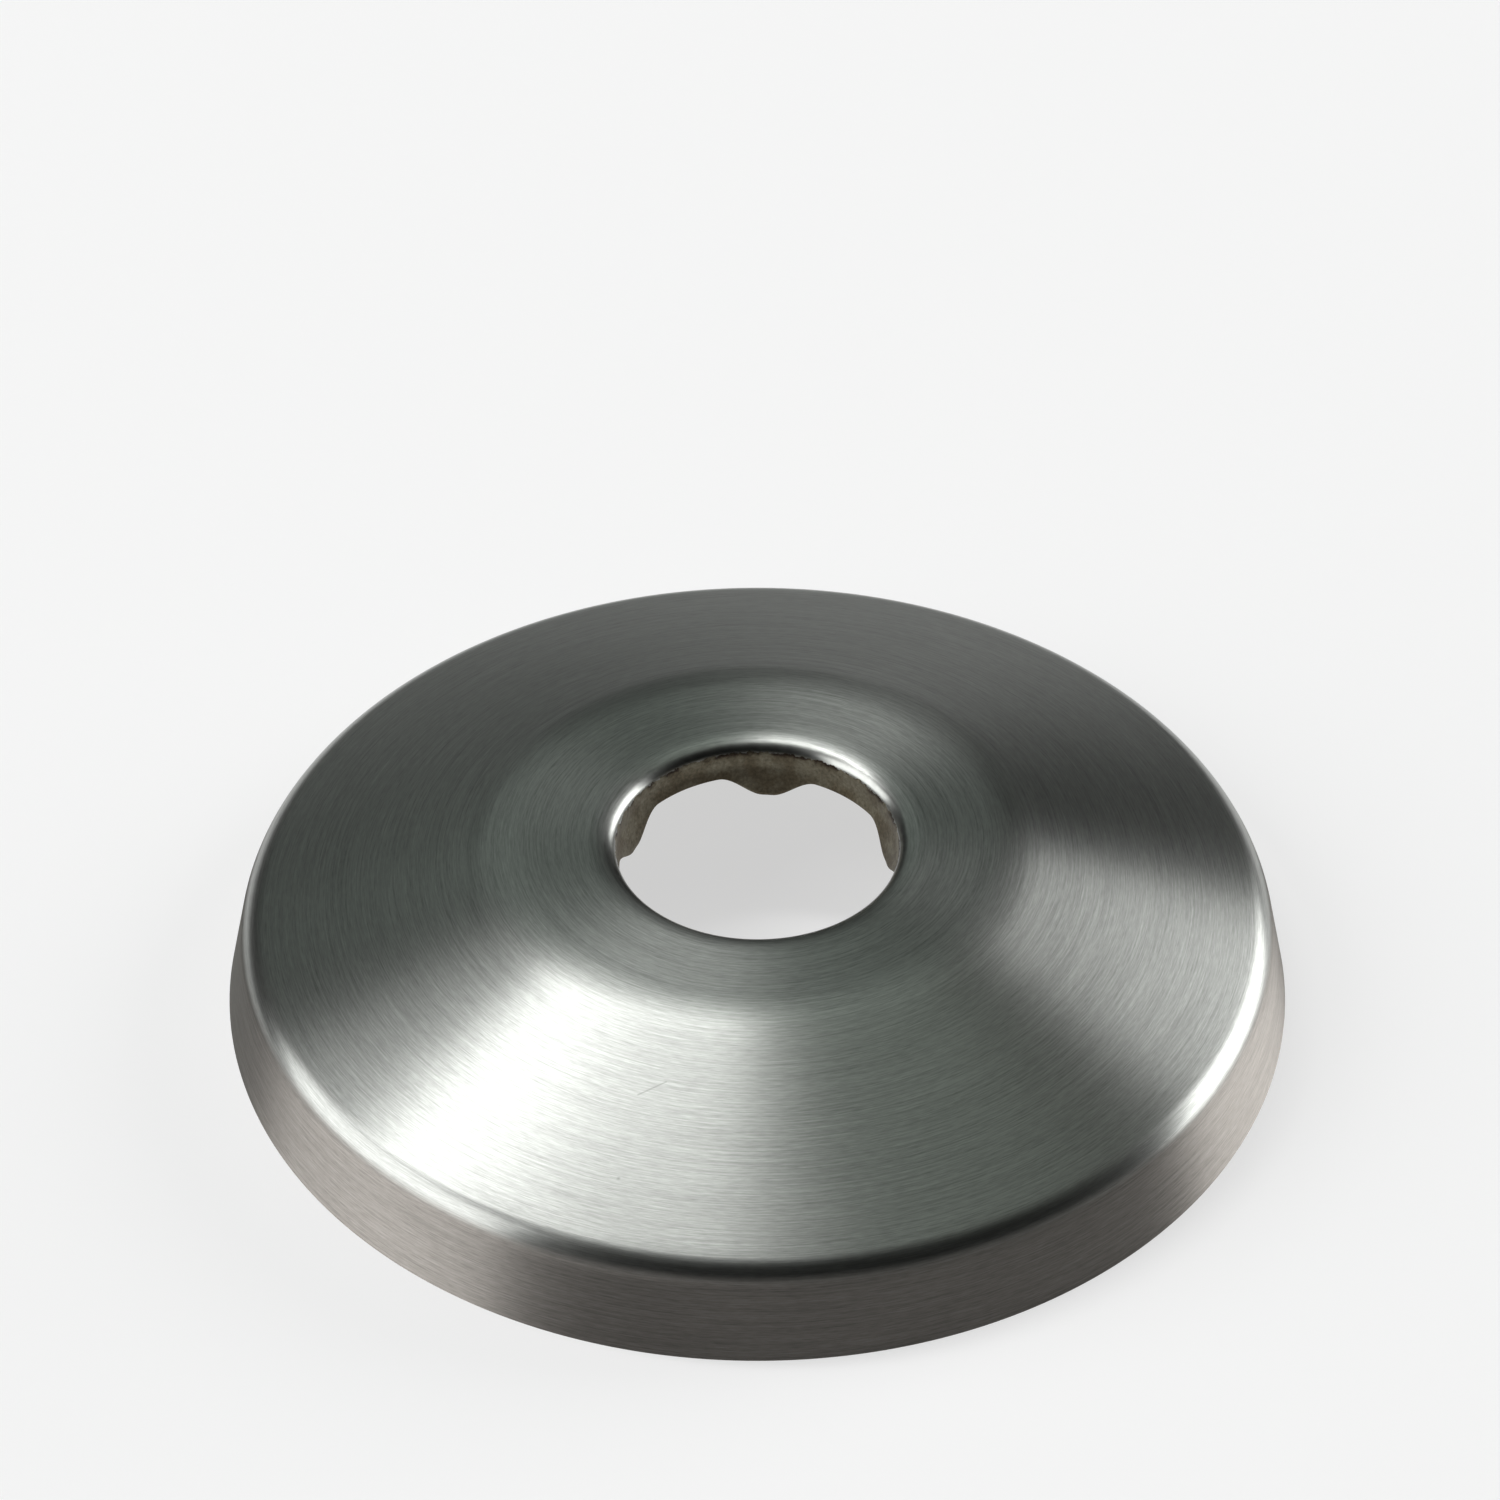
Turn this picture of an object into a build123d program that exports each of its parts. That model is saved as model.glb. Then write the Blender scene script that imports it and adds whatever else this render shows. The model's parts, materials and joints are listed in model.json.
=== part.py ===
from build123d import *
import math
import os

# A round cover plate for the hole where a tap's pipe comes through a deck or wall. It is one pressed
# sheet: a leaning skirt, a rounded shoulder, a cone, a nearly flat plateau, and a collar that is turned
# down into the hole and ends in five spring tabs that grip the pipe.
# The origin is on the deck, at the middle of the rim. +Z is the pipe's axis, away from the deck, and
# +Y is the back. Lengths are in millimetres and angles in degrees.

# Sheet
sheet_thickness = 0.6

# Skirt and shoulder
rim_diameter = 82.6
skirt_lean = 11.7
shoulder_height = 7.3
shoulder_radius = 1.9

# Cone and plateau
knee_diameter = 39.5
knee_height = 14.3
knee_radius = 13.0
plateau_rise = 0.1

# Hole: the pipe that it passes, the room around that pipe, and how far the lip's curve reaches along
# the plateau and down the hole
pipe_diameter = 21.34
pipe_clearance = 0.18
lip_reach = 1.15
land_length = 1.0

# Spring tabs round the end of the collar
tab_count = 5
tab_turn = 4.5
tab_lean = 15.0
tab_bend_radius = 1.2
gap_depth = 0.78
tab_depth = 1.7
tab_tip_width = 0.8
tab_flank_width = 3.5

# Worked out from the sizes above
bore_radius = pipe_diameter / 2 + pipe_clearance
lip_height = knee_height + plateau_rise
lip_foot = lip_height - lip_reach
land_end = lip_foot - land_length
gap_height = land_end - gap_depth
tip_height = gap_height - tab_depth
trim_stock = 2 * sheet_thickness
plateau_slope = plateau_rise / (knee_diameter / 2 - bore_radius)


def crown_line():
    # The outer face of the skirt, the cone and the plateau. It starts below the finished rim by the
    # stock that is trimmed off.
    skirt_slope = math.tan(math.radians(skirt_lean))
    rim_radius = rim_diameter / 2
    return FilletPolyline(
        (rim_radius + trim_stock * skirt_slope, -trim_stock),
        (rim_radius - shoulder_height * skirt_slope, shoulder_height),
        (knee_diameter / 2, knee_height),
        (bore_radius + lip_reach, lip_height - lip_reach * plateau_slope),
        radius=[shoulder_radius, knee_radius],
    )


def collar_line():
    # The side of the collar that faces the pipe: the straight land, then the inward lean of the tabs.
    # It ends below the finished tips by the stock that is trimmed off.
    collar_end = tip_height - trim_stock
    closing = (land_end - collar_end) * math.tan(math.radians(tab_lean))
    return FilletPolyline(
        (bore_radius, lip_foot),
        (bore_radius, land_end),
        (bore_radius - closing, collar_end),
        radius=tab_bend_radius,
    )


def lip_corner(plateau_end, land_start):
    # Where the plateau and the land would meet if the lip were sharp.
    return Vector(land_start.X, plateau_end.Y + (plateau_end.X - land_start.X) * plateau_slope)


def outer_lip(plateau_end, land_start):
    # The eased lip that carries the plateau over into the collar.
    return Bezier(plateau_end, lip_corner(plateau_end, land_start), land_start)


def inner_lip(plateau_end, land_start):
    # Behind the lip a flat cuts the corner halfway, so the sheet stays about even in thickness.
    corner = lip_corner(plateau_end, land_start)
    return Polyline(land_start, (land_start + corner) / 2, (corner + plateau_end) / 2, plateau_end)


def pressed_sheet():
    # Both faces of the sheet make a half section. It is turned about the pipe's axis, and the rim is
    # trimmed flat on the deck. The inner lines run the other way, from the tabs back to the rim.
    crown = crown_line()
    collar = collar_line()
    inner_crown = offset(crown, amount=sheet_thickness, side=Side.LEFT, closed=False)
    inner_collar = offset(collar, amount=sheet_thickness, side=Side.LEFT, closed=False)
    outer_face = crown + outer_lip(crown @ 1, collar @ 0) + collar
    inner_face = inner_collar + inner_lip(inner_crown @ 0, inner_collar @ 1) + inner_crown
    tab_end = Line(collar @ 1, inner_collar @ 0)
    rim_end = Line(inner_crown @ 1, crown @ 0)
    section = make_face(outer_face + tab_end + inner_face + rim_end)
    sheet = revolve(Plane.XZ * section, Axis.Z)
    deck = Pos(0, 0, -trim_stock) * Cylinder(rim_diameter, 2 * trim_stock)
    return sheet - deck


def tab_flank(side):
    # One side of a tab seen from the pipe: an even S from the gap down to the tip.
    tip = side * tab_tip_width / 2
    root = tip + side * tab_flank_width
    ease = side * tab_flank_width / 3
    return Bezier((root, gap_height), (root - ease, gap_height), (tip + ease, tip_height), (tip, tip_height))


def tab_blank():
    # One tab with the wall that it hangs from, pushed out through the collar.
    left = tab_flank(-1)
    right = tab_flank(1)
    top = gap_height + trim_stock
    tip = Line(left @ 1, right @ 1)
    wall = Polyline(left @ 0, ((left @ 0).X, top), ((right @ 0).X, top), right @ 0)
    outline = make_face(left + tip + right + wall)
    return extrude(Plane.XZ * outline, -2 * bore_radius)


def trim_ring():
    # What the press cuts off the end of the collar: a ring below the gaps, less the tabs.
    depth = tab_depth + 2 * trim_stock
    ring = Pos(0, 0, gap_height - depth / 2) * Cylinder(bore_radius + trim_stock, depth)
    tabs = [Rot(0, 0, -tab_turn - i * 360 / tab_count) * tab_blank() for i in range(tab_count)]
    return ring - tabs


plate = pressed_sheet() - trim_ring()
plate.label = "escutcheon_plate"
plate.color = Color(0.55, 0.55, 0.53)

os.makedirs("parts", exist_ok=True)
export_step(plate, "parts/escutcheon_plate.step")
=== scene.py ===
import bpy
import json
import math
from mathutils import Matrix, Vector


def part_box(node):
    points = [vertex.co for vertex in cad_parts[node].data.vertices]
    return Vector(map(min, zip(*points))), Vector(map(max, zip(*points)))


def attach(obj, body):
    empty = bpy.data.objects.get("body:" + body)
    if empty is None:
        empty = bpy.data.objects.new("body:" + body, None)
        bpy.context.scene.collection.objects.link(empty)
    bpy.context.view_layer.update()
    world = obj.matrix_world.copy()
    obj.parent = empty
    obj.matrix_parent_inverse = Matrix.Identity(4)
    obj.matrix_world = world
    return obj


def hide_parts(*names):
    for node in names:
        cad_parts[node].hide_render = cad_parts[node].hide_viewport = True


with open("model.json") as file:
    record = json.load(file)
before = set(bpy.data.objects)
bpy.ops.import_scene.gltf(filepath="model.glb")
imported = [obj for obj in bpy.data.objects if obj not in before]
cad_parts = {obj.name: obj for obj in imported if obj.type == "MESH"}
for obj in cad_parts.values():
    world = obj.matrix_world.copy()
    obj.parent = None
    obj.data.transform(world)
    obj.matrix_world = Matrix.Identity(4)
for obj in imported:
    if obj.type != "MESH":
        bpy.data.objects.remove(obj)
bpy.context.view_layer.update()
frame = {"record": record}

mm = 0.001
plateNode = "escutcheon_plate"


class Wire:
    # a socket that can be used in sums: each operation adds its own Math node
    def __init__(self, desk, socket):
        self.desk = desk
        self.socket = socket

    def __add__(self, other):
        return self.desk.maths("ADD", self, other)

    def __radd__(self, other):
        return self.desk.maths("ADD", other, self)

    def __sub__(self, other):
        return self.desk.maths("SUBTRACT", self, other)

    def __rsub__(self, other):
        return self.desk.maths("SUBTRACT", other, self)

    def __mul__(self, other):
        return self.desk.maths("MULTIPLY", self, other)

    def __rmul__(self, other):
        return self.desk.maths("MULTIPLY", other, self)

    def __truediv__(self, other):
        return self.desk.maths("DIVIDE", self, other)

    def __rtruediv__(self, other):
        return self.desk.maths("DIVIDE", other, self)

    def __gt__(self, other):
        return self.desk.maths("GREATER_THAN", self, other)

    def __lt__(self, other):
        return self.desk.maths("LESS_THAN", self, other)

    def output(self, which):
        # another output of the same node
        return Wire(self.desk, self.socket.node.outputs[which])


class Desk:
    # one node tree, and the ways to put nodes on it
    def __init__(self, tree):
        self.tree = tree

    def add(self, kind, settings=None, sockets=None, out=0):
        made = self.tree.nodes.new(kind)
        for name, value in (settings or {}).items():
            if name == "items":              # how many values an Index Switch chooses from
                while len(made.index_switch_items) < value:
                    made.index_switch_items.new()
            elif name == "captures":         # the kind of value that a Capture Attribute stores
                made.capture_items.new(value, "Value")
            else:
                setattr(made, name, value)
        for name, value in (sockets or {}).items():
            self.plug(value, made.inputs[name])
        return Wire(self, made.outputs[out]) if len(made.outputs) else None

    def plug(self, value, socket):
        if isinstance(value, Wire):
            self.tree.links.new(value.socket, socket)
        else:
            socket.default_value = value

    def maths(self, operation, first, second=0.0):
        return self.add("ShaderNodeMath", {"operation": operation}, {0: first, 1: second})

    def vectorMaths(self, operation, first, second, out=0):
        return self.add("ShaderNodeVectorMath", {"operation": operation}, {0: first, 1: second}, out)

    def vector(self, x, y, z):
        return self.add("ShaderNodeCombineXYZ", None, {0: x, 1: y, 2: z})

    def split(self, vector):
        x = self.add("ShaderNodeSeparateXYZ", None, {0: vector})
        return x, x.output(1), x.output(2)

    def step(self, value, low, high, atLow=0.0, atHigh=1.0):
        # a soft step: atLow up to low, atHigh from high on
        return self.add("ShaderNodeMapRange", {"interpolation_type": "SMOOTHSTEP"},
                        {0: value, 1: low, 2: high, 3: atLow, 4: atHigh})

    def blend(self, factor, first, second):
        # a mix of two colours
        return self.add("ShaderNodeMix", {"data_type": "RGBA"}, {0: factor, 6: first, 7: second}, out=2)

    def shaderMix(self, factor, first, second):
        return self.add("ShaderNodeMixShader", None, {0: factor, 1: first, 2: second})


# The plate, as one lathe-turned sheet. Lengths are in millimetres, angles in degrees, and whole numbers
# are counts. What the frame knows (rim, height, bore) is read from it, and the rest is set here.
plateSizes = {
    "Skirt lean": 11.7,
    "Shoulder height": 7.3,
    "Shoulder bend": 2.7,
    "Cone bulge": 0.2,           # how far the middle of the cone stands out
    "Cone bend": 430.0,
    "Knee radius": 19.75,
    "Knee height": 14.3,
    "Knee bend": 13.0,
    "Lip reach": 2.2,            # the lip's curve along the plateau, and down the hole
    "Lip drop": 1.15,
    "Land length": 1.0,
    "Tab lean": 15.0,
    "Tab bend": 2.4,
    "Gap depth": 0.78,           # from the land's end to a gap, and from there to a tip
    "Tab depth": 1.7,
    "Tab tip half": 0.4,
    "Tab root half": 4.0,
    "Tab turn": 4.5,             # the first tab's angle from the back
    "Edge round": 0.06,
    "Thickness": 0.6,
    "Row step": 1.0,             # the rows stand at most about this far apart
    "Hole margin": 0.05,         # how far outside the bore a face still counts as the hole's
    "Merge distance": 0.001,
    "Tab count": 5,
    "Round steps": 360,
    "Bend steps": 10,
    "Lip rows": 14,
    "Tab rows": 8,
}
angleInputs = ("Skirt lean", "Tab lean", "Tab turn")
plateTopMargin = 0.0242       # where the plateau's line meets the hole's stands this much above the crown
waveRest = 0.05               # the share of a tab's depth that is left in the gaps
sharpAngle = 50               # edges that turn by more degrees are shaded sharp


def treeInputs(tree, desk, values):
    # one named input for each value, and the wire that carries it
    for name, value in values.items():
        kind = "NodeSocketInt" if isinstance(value, int) else "NodeSocketFloat"
        tree.interface.new_socket(name, in_out="INPUT", socket_type=kind)
    tree.interface.new_socket("Geometry", in_out="OUTPUT", socket_type="NodeSocketGeometry")
    source = desk.add("NodeGroupInput")
    return {name: source.output(name) for name in values}


def sectionLine(desk, size):
    # The sheet's outer line from the rim to the tips of the tabs, with x as the radius and y as the height.
    skirtSlope = desk.maths("TANGENT", size["Skirt lean"])
    tabSlope = desk.maths("TANGENT", size["Tab lean"])
    lipHeight = size["Height"]
    landEnd = lipHeight - size["Lip drop"] - size["Land length"]
    gapHeight = landEnd - size["Gap depth"]
    edgeStart = gapHeight - size["Tab depth"] + size["Edge round"]
    bore = size["Bore radius"]
    shoulder = size["Rim radius"] - size["Shoulder height"] * skirtSlope
    middle = (size["Shoulder height"] + size["Knee height"]) / 2 + size["Cone bulge"]
    corners = [
        desk.vector(size["Rim radius"], 0.0, 0.0),
        desk.vector(shoulder, size["Shoulder height"], 0.0),
        desk.vector((shoulder + size["Knee radius"]) / 2, middle, 0.0),
        desk.vector(size["Knee radius"], size["Knee height"], 0.0),
        desk.vector(bore, landEnd, 0.0),
    ]
    bends = [0.0] + [size[name + " bend"] for name in ("Shoulder", "Cone", "Knee", "Tab")]
    index = desk.add("GeometryNodeInputIndex")
    crownCorners = len(corners) - 1
    landIndex = size["Lip rows"] + crownCorners + 1

    # The lip is eased: each of its rows drops more and reaches less than the one before. An index is
    # compared with the half between two numbers, so that rounding can't move it.
    lipRow = (index - crownCorners) / size["Lip rows"]
    left = 1 - lipRow
    plateauSlope = (lipHeight - size["Knee height"]) / (size["Knee radius"] - bore)
    lipDrop = lipRow * lipRow * size["Lip drop"] + left * left * size["Lip reach"] * plateauSlope
    lipPoint = desk.vector(bore + left * left * size["Lip reach"], lipHeight - lipDrop, 0.0)
    onLip = (index > crownCorners - 0.5) * (index < landIndex - 0.5)

    # the tabs' rows go straight down, and the last one starts their rounded edge
    tabRow = (index - landIndex - 1) / size["Tab rows"]
    onEdge = tabRow > 1 + 0.5 / size["Tab rows"]
    rowDepth = (gapHeight - edgeStart) * desk.maths("MINIMUM", tabRow, 1.0)
    rowHeight = gapHeight - rowDepth - size["Edge round"] * onEdge
    tabPoint = desk.vector(bore - (landEnd - rowHeight) * tabSlope, rowHeight, 0.0)
    onTab = index > landIndex + 0.5

    corner = desk.maths("MINIMUM", index, crownCorners)
    cornerAt = desk.add("GeometryNodeIndexSwitch", {"data_type": "VECTOR", "items": len(corners)},
                        {0: corner, **{i + 1: point for i, point in enumerate(corners)}})
    bendAt = desk.add("GeometryNodeIndexSwitch", {"data_type": "FLOAT", "items": len(corners)},
                      {0: corner, **{i + 1: bend for i, bend in enumerate(bends)}})
    bendAt = bendAt * (1 - onLip) * (1 - onTab)
    place = desk.add("GeometryNodeSwitch", {"input_type": "VECTOR"}, {0: onLip, 1: cornerAt, 2: lipPoint})
    place = desk.add("GeometryNodeSwitch", {"input_type": "VECTOR"}, {0: onTab, 1: place, 2: tabPoint})
    lastIndex = landIndex + size["Tab rows"] + 2
    points = desk.add("GeometryNodeMeshLine", None, {"Count": lastIndex + 1})
    points = desk.add("GeometryNodeSetPosition", None, {"Geometry": points, "Position": place})
    line = desk.add("GeometryNodeMeshToCurve", None, {0: points})
    line = desk.add("GeometryNodeFilletCurve", {"mode": "POLY"},
                    {"Curve": line, "Count": size["Bend steps"], "Radius": bendAt})

    # long stretches are divided, so that the faces stay near square
    here = desk.add("GeometryNodeInputPosition")
    ahead = desk.add("GeometryNodeFieldAtIndex", {"data_type": "FLOAT_VECTOR"},
                     {"Value": here, "Index": index + 1})
    cuts = desk.vectorMaths("DISTANCE", here, ahead, out=1) / size["Row step"]
    line = desk.add("GeometryNodeSubdivideCurve", None, {"Curve": line, "Cuts": cuts})
    return line, landEnd, gapHeight, edgeStart, tabSlope


def captured(desk, geometry, value):
    # the geometry with the value stored on its points, and the stored value
    stored = desk.add("GeometryNodeCaptureAttribute", {"captures": "FLOAT"}, {0: geometry, 1: value})
    return stored, stored.output(1)


def merged(desk, size, mesh):
    return desk.add("GeometryNodeMergeByDistance", None,
                    {"Geometry": mesh, "Distance": size["Merge distance"]})


def turnedSheet(desk, size):
    # the plate's outer face, from the rim to the wavy end of the collar, and the height of the land's end
    line, landEnd, gapHeight, edgeStart, tabSlope = sectionLine(desk, size)
    lineX, lineY = desk.split(desk.add("GeometryNodeInputPosition"))[:2]
    line, radius = captured(desk, line, lineX)
    line, height = captured(desk, line, lineY)

    # the line is drawn out along a straight path, one step for each step round, and then bent into a ring
    steps = size["Round steps"] + 1
    path = desk.add("GeometryNodeMeshLine", None, {"Count": steps, "Offset": (0, 0, 1)})
    path = desk.add("GeometryNodeMeshToCurve", None, {0: path})
    path, turn = captured(desk, path, desk.add("GeometryNodeInputIndex") / size["Round steps"])
    ribbon = desk.add("GeometryNodeCurveToMesh", None, {0: path, 1: line})
    angle = turn * math.tau

    # the collar's end waves between the gaps and the tips of the tabs
    pitch = math.tau / size["Tab count"]
    away = desk.maths("PINGPONG", angle - size["Tab turn"] + math.tau, pitch / 2) * size["Bore radius"]
    wave = desk.step(away, size["Tab tip half"], size["Tab root half"], 1.0, waveRest)
    onEdge = height < edgeStart - size["Edge round"] / 2
    depth = (gapHeight - desk.maths("MAXIMUM", height, edgeStart)) * wave
    waved = gapHeight - depth - onEdge * size["Edge round"]
    onTab = (height < gapHeight) * (radius < size["Bore radius"])
    tabHeight = onTab * waved + (1 - onTab) * height
    leaned = size["Bore radius"] - (landEnd - waved) * tabSlope + onEdge * size["Edge round"] / 2
    tabRadius = onTab * leaned + (1 - onTab) * radius
    ringX = desk.maths("SINE", angle) * tabRadius
    ringY = desk.maths("COSINE", angle) * tabRadius
    ring = desk.vector(ringX, ringY, tabHeight)
    sheet = desk.add("GeometryNodeSetPosition", None, {"Geometry": ribbon, "Position": ring})
    return merged(desk, size, sheet), landEnd


def plateTree(values, outside, inside):
    tree = bpy.data.node_groups.new("pressedPlate", "GeometryNodeTree")
    desk = Desk(tree)
    size = treeInputs(tree, desk, values)
    sheet, landEnd = turnedSheet(desk, size)

    # the wall goes inwards, and its rim is kept flat on the deck
    wall = desk.add("GeometryNodeExtrudeMesh", None,
                    {"Mesh": sheet, "Offset Scale": size["Thickness"] * -1, "Individual": False})
    wall = desk.add("GeometryNodeFlipFaces", None, {0: wall})
    wall, isWall = captured(desk, wall, 1.0)
    shell = desk.add("GeometryNodeJoinGeometry", None, {0: wall})
    desk.plug(sheet, shell.socket.node.inputs[0])
    x, y, z = desk.split(desk.add("GeometryNodeInputPosition"))
    lift = desk.vector(0.0, 0.0, desk.maths("MINIMUM", z, 0.0) * -1)
    shell = desk.add("GeometryNodeSetPosition", None, {"Geometry": shell, "Offset": lift})
    shell = merged(desk, size, shell)

    # faces towards the pipe, below the lip's bend, are bare metal, as the whole inside is
    radial = desk.maths("SQRT", x * x + y * y)
    inHole = (radial < size["Bore radius"] + size["Hole margin"]) * (z < landEnd + size["Land length"] / 2)
    bare = desk.maths("MAXIMUM", inHole, isWall > 0.5)
    shell = desk.add("GeometryNodeSetShadeSmooth", None, {"Geometry": shell})
    shell = desk.add("GeometryNodeRealizeInstances", None, {0: shell})
    shell = desk.add("GeometryNodeSetMaterial", None, {"Geometry": shell, "Material": outside})
    shell = desk.add("GeometryNodeSetMaterial", None,
                     {"Geometry": shell, "Selection": bare, "Material": inside})
    desk.add("NodeGroupOutput", None, {0: shell})
    return tree


def plateValues():
    # every input of the tree: metres, radians and counts
    low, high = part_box(plateNode)
    bore = next(m for m in frame["record"]["mounts"] if m["kind"] == "bore")
    values = {
        "Rim radius": (high[0] - low[0]) / 2,
        "Height": high[2] + plateTopMargin * mm,
        "Bore radius": bore["dims"]["r_mm"] * mm,
    }
    for name, size in plateSizes.items():
        if name in angleInputs:
            values[name] = math.radians(size)
        else:
            values[name] = size if isinstance(size, int) else size * mm
    return values


def makePlate(outside, inside):
    values = plateValues()
    carrier = bpy.data.objects.new("plateCarrier", bpy.data.meshes.new("plateCarrier"))
    bpy.context.scene.collection.objects.link(carrier)
    modifier = carrier.modifiers.new("pressedPlate", "NODES")
    modifier.node_group = plateTree(values, outside, inside)
    for item in modifier.node_group.interface.items_tree:
        if item.in_out == "INPUT":
            modifier[item.identifier] = values[item.name]
    evaluated = carrier.evaluated_get(bpy.context.evaluated_depsgraph_get())
    mesh = bpy.data.meshes.new_from_object(evaluated)
    bpy.data.objects.remove(carrier)
    mesh.set_sharp_from_angle(angle=math.radians(sharpAngle))
    plate = bpy.data.objects.new("dressed_plate", mesh)
    bpy.context.scene.collection.objects.link(plate)
    return plate


# The brushed finish, whose skirt colour is darkened as painted shade. Lengths are in millimetres.
finish = {
    "crown": (0.305, 0.313, 0.298),
    "crownRoughness": 0.32,
    "crownAnisotropy": 0.80,
    "bend": (0.305, 0.313, 0.298),
    "bendRoughness": 0.285,
    "bendAnisotropy": 0.6,
    # the skirt's colour is darker and warmer than the crown's: painted shade, for the dark brown
    # surroundings that the skirt reflects
    "skirt": (0.285, 0.268, 0.248),
    "skirtRoughness": 0.53,
    "skirtAnisotropy": 1.0,
    "roughnessDepth": 0.03,
    "turn": 0.25,               # a quarter turn, so the brushing runs round the axis
    "skirtTop": (6.3, 7.1),     # the heights between which the skirt's finish passes into the crown's
    "shoulder": (38.0, 39.2),   # the radii between which the brushing gets smoother at the shoulder
    "lip": (11.1, 11.9),        # and at the lip
    "fine": (0.11, 1.1),        # a stroke's width and length
    "coarse": (0.14, 9.0),
    "fineDepth": 0.34,
    "coarseDepth": 0.37,
}
# Two small marks of wear on the front of the cone. Places are x and y seen from above, in millimetres.
marks = {
    "scratchStart": (-8.75, -25.72),
    "scratchEnd": (-6.70, -24.86),
    "scratchWidth": 0.10,
    "pit": (-10.1, -32.1),
    "pitRadius": 0.22,
    "depth": 0.3,
}
# The unfinished metal inside the collar and underneath. Lengths are in millimetres.
bareFinish = {
    "brown": (0.113, 0.095, 0.065),
    "olive": (0.178, 0.162, 0.120),
    # a dark brown that is partly a stain and partly painted shade, for the dark band under the lip's bend
    "stainAndShade": (0.028, 0.019, 0.015),
    "roughness": 0.5,
    "blotch": 0.55,             # blotches for each millimetre
    "blotchFrom": (0.38, 0.66),  # the noise between which brown turns into olive
    "speck": 4.0,               # specks for each millimetre
    "speckDepth": 0.7,
    "bumpStrength": 0.5,
    "bumpHeight": 0.03,
    "edge": 13.6,               # the height at which the finish ends in the hole
    "edgeBlur": 0.04,
    "edgeReach": 12.0,          # the radius within which it ends
    "ragged": 0.4,              # how far the end wavers, and how many times for each millimetre
    "raggedness": 1.6,
    "stainAndShadeDepth": 0.5,
    "stainAndShadeFrom": (0.44, 0.58),  # the noise between which the dark band of stain and painted shade fades out
}
noiseRoughness = 0.6


def newMaterial(name):
    material = bpy.data.materials.new(name)
    material.use_nodes = True
    material.node_tree.nodes.clear()
    return material, Desk(material.node_tree)


def closeMaterial(desk, shader):
    desk.add("ShaderNodeOutputMaterial", None, {"Surface": shader})


def noise(desk, place, scale, detail):
    return desk.add("ShaderNodeTexNoise", None,
                    {"Vector": place, "Scale": scale, "Detail": detail, "Roughness": noiseRoughness})


def strokes(desk, across, x, y, width, length):
    # noise drawn out into arcs round the axis, so many millimetres wide and long
    place = desk.vector(across / (width * mm), x / (length * mm), y / (length * mm))
    return noise(desk, place, 1.0, 2.0)


def spots(desk, coordinates, perMillimetre):
    return noise(desk, coordinates, perMillimetre / mm, 3.0)


def scaled(sizes):
    return [size * mm for size in sizes]


def times(desk, colour, factor):
    return desk.vectorMaths("MULTIPLY", colour, desk.vector(factor, factor, factor))


def bareShader(desk, z, coordinates, edge):
    # blotches of two tones and fine specks, with a dark band under the ragged end of the finish that is
    # partly a stain and partly painted shade
    blotch = spots(desk, coordinates, bareFinish["blotch"])
    speck = spots(desk, coordinates, bareFinish["speck"])
    olive = desk.step(blotch, *bareFinish["blotchFrom"])
    tone = desk.blend(olive, (*bareFinish["brown"], 1), (*bareFinish["olive"], 1))
    # the band under the finish's end is darkened: partly a stain, partly painted shade
    underEdge = desk.step(z, edge - bareFinish["stainAndShadeDepth"] * mm, edge)
    stainedAndShaded = underEdge * desk.step(blotch, *bareFinish["stainAndShadeFrom"], 1.0, 0.0)
    tone = desk.blend(stainedAndShaded, tone, (*bareFinish["stainAndShade"], 1))
    colour = times(desk, tone, 1 + (speck - 0.5) * bareFinish["speckDepth"] * 2)
    bump = desk.add("ShaderNodeBump", None, {
        "Strength": bareFinish["bumpStrength"], "Distance": bareFinish["bumpHeight"] * mm, "Height": speck})
    return desk.add("ShaderNodeBsdfPrincipled", None, {
        "Base Color": colour, "Metallic": 1.0, "Roughness": bareFinish["roughness"], "Normal": bump})


def finishEdge(desk, coordinates):
    # the ragged height at which the finish ends in the hole
    waver = (spots(desk, coordinates, bareFinish["raggedness"]) - 0.5) * bareFinish["ragged"] * 2
    return (bareFinish["edge"] + waver) * mm


def nearTo(desk, first, second, reach):
    # 1 where the two places meet, and 0 where they are the reach apart
    return desk.step(desk.vectorMaths("DISTANCE", first, second, out=1), 0.0, reach, 1.0, 0.0)


def wearMarks(desk, x, y):
    start, end, pit = [Vector((*marks[name], 0.0)) * mm for name in ("scratchStart", "scratchEnd", "pit")]
    way = end - start
    plan = desk.vector(x, y, 0.0)
    fromStart = desk.vectorMaths("SUBTRACT", plan, start)
    along = desk.vectorMaths("DOT_PRODUCT", fromStart, way, out=1) / way.length_squared
    along = desk.maths("MINIMUM", desk.maths("MAXIMUM", along, 0.0), 1.0)
    foot = desk.add("ShaderNodeVectorMath", {"operation": "SCALE"}, {0: way, "Scale": along})
    scratch = nearTo(desk, fromStart, foot, marks["scratchWidth"] * mm)
    return desk.maths("MAXIMUM", scratch, nearTo(desk, plan, pit, marks["pitRadius"] * mm))


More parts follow.
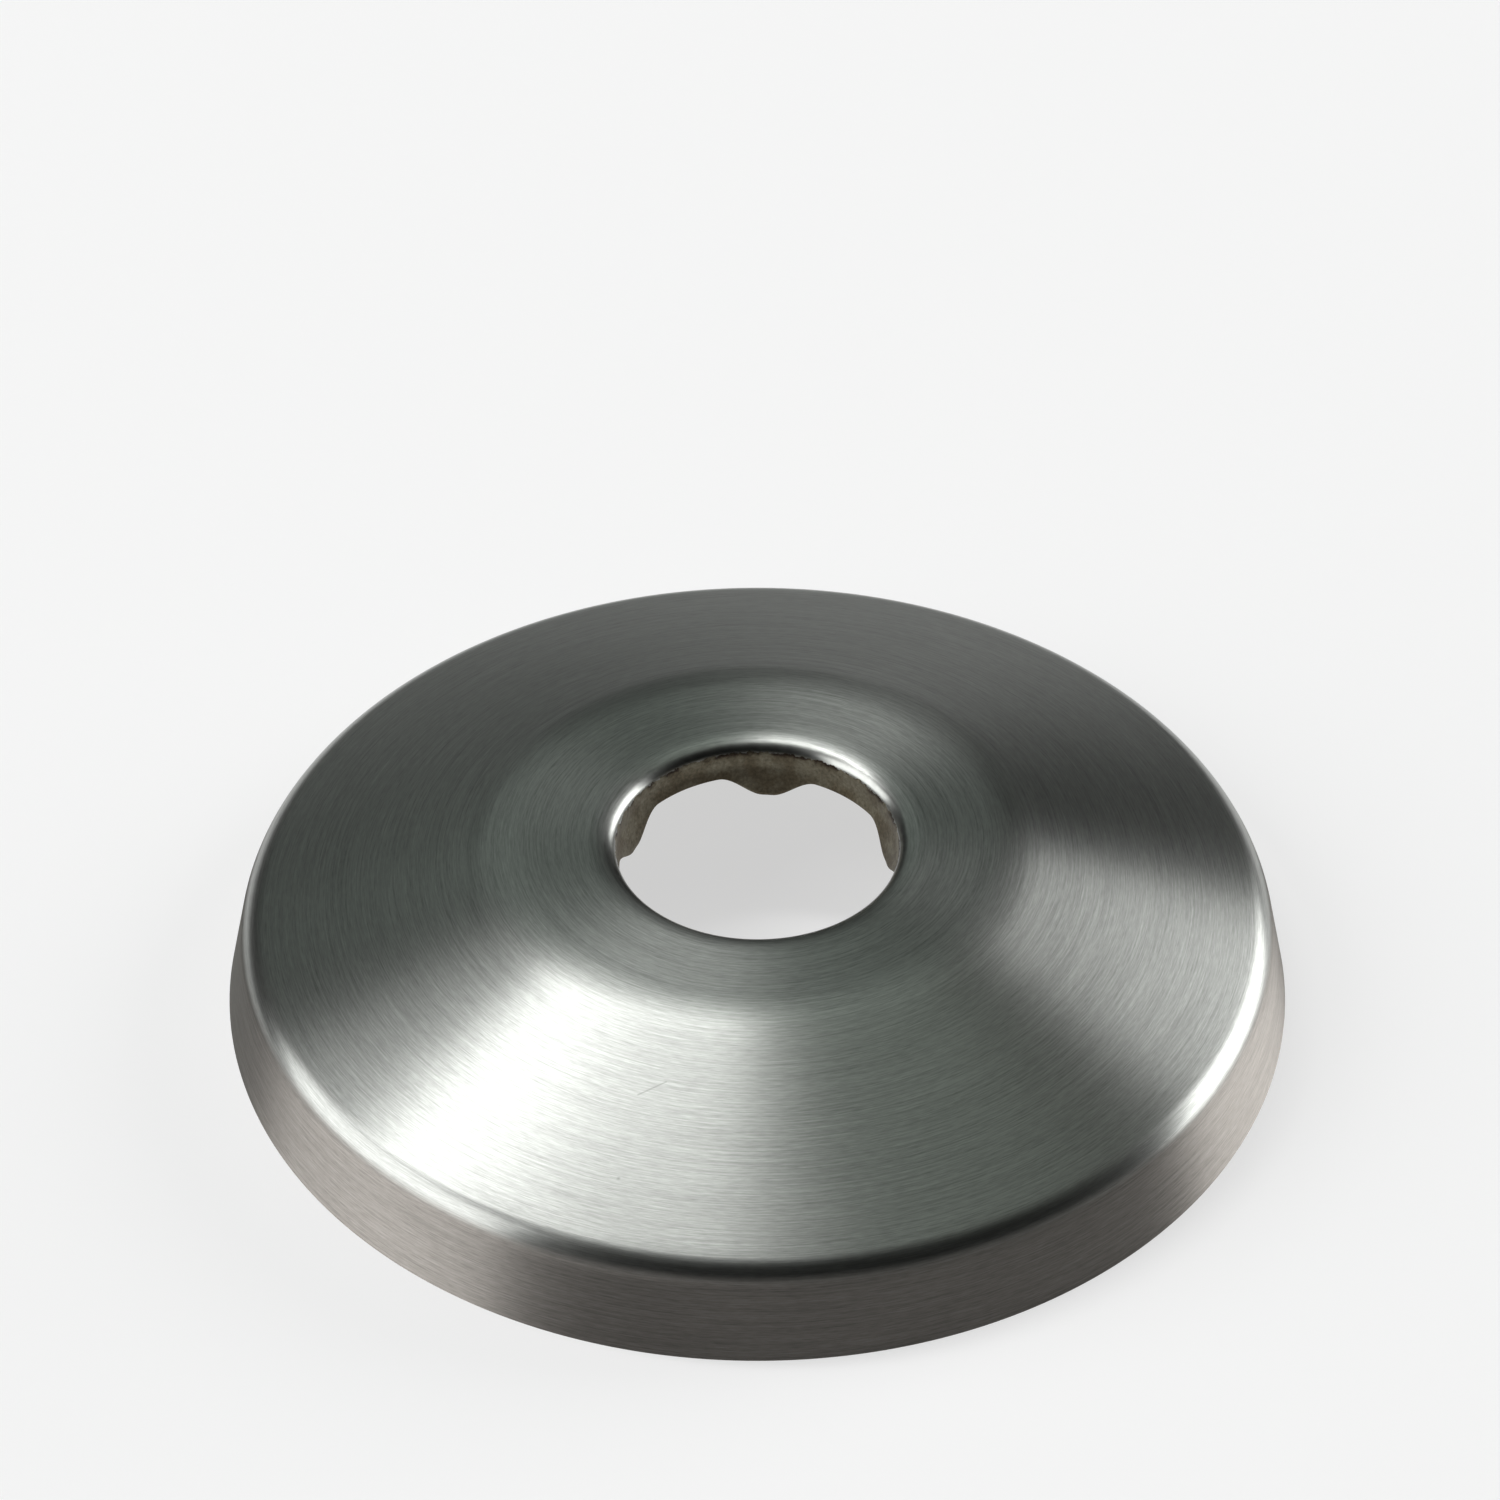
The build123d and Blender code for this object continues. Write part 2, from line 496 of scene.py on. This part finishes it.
def brushedNickel():
    material, desk = newMaterial("brushedNickel")
    coordinates = desk.add("ShaderNodeTexCoord", out=3)
    x, y, z = desk.split(coordinates)
    radius = desk.maths("SQRT", x * x + y * y)
    across = radius - z
    fine = strokes(desk, across, x, y, *finish["fine"])
    coarse = strokes(desk, across, x, y, *finish["coarse"])
    grain = 1 + (fine - 0.5) * finish["fineDepth"] * 2 + (coarse - 0.5) * finish["coarseDepth"] * 2
    grain = grain * (1 - wearMarks(desk, x, y) * marks["depth"])
    shaders = {}
    # each part gets its own colour, and the skirt's is darkened as painted shade
    for part in ("skirt", "crown", "bend"):
        shaders[part] = desk.add("ShaderNodeBsdfPrincipled", None, {
            "Base Color": times(desk, finish[part], grain), "Metallic": 1.0,
            "Roughness": finish[part + "Roughness"] + (coarse - 0.5) * finish["roughnessDepth"],
            "Anisotropic": finish[part + "Anisotropy"], "Anisotropic Rotation": finish["turn"]})
    onShoulder = desk.step(radius, *scaled(finish["shoulder"]))
    onBend = onShoulder + desk.step(radius, *scaled(finish["lip"]), 1.0, 0.0)
    dressed = desk.shaderMix(onBend, shaders["crown"], shaders["bend"])
    aboveSkirt = desk.step(z, *scaled(finish["skirtTop"]))
    dressed = desk.shaderMix(aboveSkirt, shaders["skirt"], dressed)
    edge = finishEdge(desk, coordinates)
    blur = bareFinish["edgeBlur"] * mm
    worn = (radius < bareFinish["edgeReach"] * mm) * desk.step(z, edge - blur, edge + blur, 1.0, 0.0)
    closeMaterial(desk, desk.shaderMix(worn, dressed, bareShader(desk, z, coordinates, edge)))
    return material


def bareMetal():
    material, desk = newMaterial("bareMetal")
    coordinates = desk.add("ShaderNodeTexCoord", out=3)
    z = desk.split(coordinates)[2]
    closeMaterial(desk, bareShader(desk, z, coordinates, finishEdge(desk, coordinates)))
    return material


# The studio, in metres. A softbox's size is the tangent of half the angle that it fills, seen from the
# plate, its angles are in degrees, and it is white where it has no tint.
studio = {
    "floor": (0.80, 0.80, 0.80),
    "floorRoughness": 0.9,
    "floorSpecular": 0.1,
    "floorGlow": 0.6,         # the share of the floor that is white by itself
    "floorHalf": 4.0,
    "back": (0.028, 0.028, 0.028),
    "front": (0.006, 0.006, 0.006),
    "frontToBack": (-0.4, 0.3),   # the y of the directions between which the front turns into the back
    "boxDistance": 3.0,
    "boxPower": 4.0,          # watts for each square metre of a softbox at level 1, which looks white
}
softboxes = {
    "boxBack": {"azimuth": -6, "elevation": 57, "roll": -34, "wide": 0.22, "tall": 0.60, "level": 0.31,
                "tint": (0.86, 1.0, 0.92)},
    "boxStrip": {"azimuth": -46, "elevation": 67, "roll": 51, "wide": 0.28, "tall": 0.06, "level": 13.1},
    "boxLeft": {"azimuth": -101, "elevation": 16, "roll": -18, "wide": 0.50, "tall": 0.78, "level": 2.55},
    "boxRight": {"azimuth": 66, "elevation": 14, "roll": 32, "wide": 0.33, "tall": 0.46, "level": 4.2},
    "boxTop": {"azimuth": 48, "elevation": 68, "roll": 0, "wide": 0.36, "tall": 0.28, "level": 0.15,
               "tint": (0.93, 1.0, 0.9)},
    "boxZenith": {"azimuth": 0, "elevation": 88, "roll": 0, "wide": 0.10, "tall": 0.20, "level": 0.5},
}


def makeFloor():
    material, desk = newMaterial("paleFloor")
    shader = desk.add("ShaderNodeBsdfPrincipled", None, {
        "Base Color": (*studio["floor"], 1), "Roughness": studio["floorRoughness"],
        "Specular IOR Level": studio["floorSpecular"]})
    path = desk.add("ShaderNodeLightPath")
    seen = 0.0
    for name in ("Is Camera Ray", "Is Glossy Ray", "Is Transmission Ray"):
        seen = desk.maths("MAXIMUM", path.output(name), seen)
    glow = desk.add("ShaderNodeEmission", None, {"Color": (1, 1, 1, 1), "Strength": 1.0})
    closeMaterial(desk, desk.shaderMix(seen * studio["floorGlow"], shader, glow))
    half = studio["floorHalf"]
    mesh = bpy.data.meshes.new("studioFloor")
    corners = [(-half, -half, 0), (half, -half, 0), (half, half, 0), (-half, half, 0)]
    mesh.from_pydata(corners, [], [(0, 1, 2, 3)])
    mesh.materials.append(material)
    floor = bpy.data.objects.new("studioFloor", mesh)
    bpy.context.scene.collection.objects.link(floor)


def makeSoftbox(name, box):
    azimuth = math.radians(box["azimuth"])
    elevation = math.radians(box["elevation"])
    sideways = math.cos(elevation)
    towards = Vector((sideways * math.sin(azimuth), sideways * math.cos(azimuth), math.sin(elevation)))
    lamp = bpy.data.lights.new(name, "AREA")
    lamp.shape = "RECTANGLE"
    lamp.size = 2 * box["wide"] * studio["boxDistance"]
    lamp.size_y = 2 * box["tall"] * studio["boxDistance"]
    lamp.energy = studio["boxPower"] * box["level"] * lamp.size * lamp.size_y
    lamp.color = box.get("tint", (1.0, 1.0, 1.0))
    holder = bpy.data.objects.new(name, lamp)
    roll = Matrix.Rotation(math.radians(-box["roll"]), 4, "Z").to_quaternion()
    holder.rotation_mode = "QUATERNION"
    holder.rotation_quaternion = towards.to_track_quat("Z", "Y") @ roll
    holder.location = towards * studio["boxDistance"]
    holder.visible_camera = False
    bpy.context.scene.collection.objects.link(holder)


def makeWorld():
    world = bpy.data.worlds.new("studioWorld")
    world.use_nodes = True
    world.node_tree.nodes.clear()
    desk = Desk(world.node_tree)
    y = desk.split(desk.add("ShaderNodeTexCoord", out=0))[1]
    back = desk.step(y, *studio["frontToBack"])
    colour = desk.blend(back, (*studio["front"], 1), (*studio["back"], 1))
    sky = desk.add("ShaderNodeBackground", None, {"Color": colour, "Strength": 1.0})
    desk.add("ShaderNodeOutputWorld", None, {"Surface": sky})
    bpy.context.scene.world = world


view = {
    "elevation": 42.91,       # degrees above the deck
    "distance": 413.0,        # mm from the middle of the rim
    "sensor": 36.0,
    "lens": 126.33,
    "shiftX": -0.00487,
    "shiftY": 0.14946,
    "clipStart": 0.01,
}


def makeCamera():
    camera = bpy.data.cameras.new("photoCamera")
    camera.sensor_width = view["sensor"]
    camera.lens = view["lens"]
    camera.shift_x = view["shiftX"]
    camera.shift_y = view["shiftY"]
    camera.clip_start = view["clipStart"]
    holder = bpy.data.objects.new("photoCamera", camera)
    elevation = math.radians(view["elevation"])
    distance = view["distance"] * mm
    holder.location = (0, -distance * math.cos(elevation), distance * math.sin(elevation))
    holder.rotation_euler = (math.pi / 2 - elevation, 0, 0)
    bpy.context.scene.collection.objects.link(holder)
    bpy.context.scene.camera = holder


bpy.context.scene.view_settings.view_transform = "Standard"
print("camera and studio")
makeCamera()
makeWorld()
makeFloor()
for name, box in softboxes.items():
    makeSoftbox(name, box)

print("plate")
plate = makePlate(brushedNickel(), bareMetal())
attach(plate, "root")
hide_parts(plateNode)
print("plate triangles", sum(len(p.vertices) - 2 for p in plate.data.polygons))
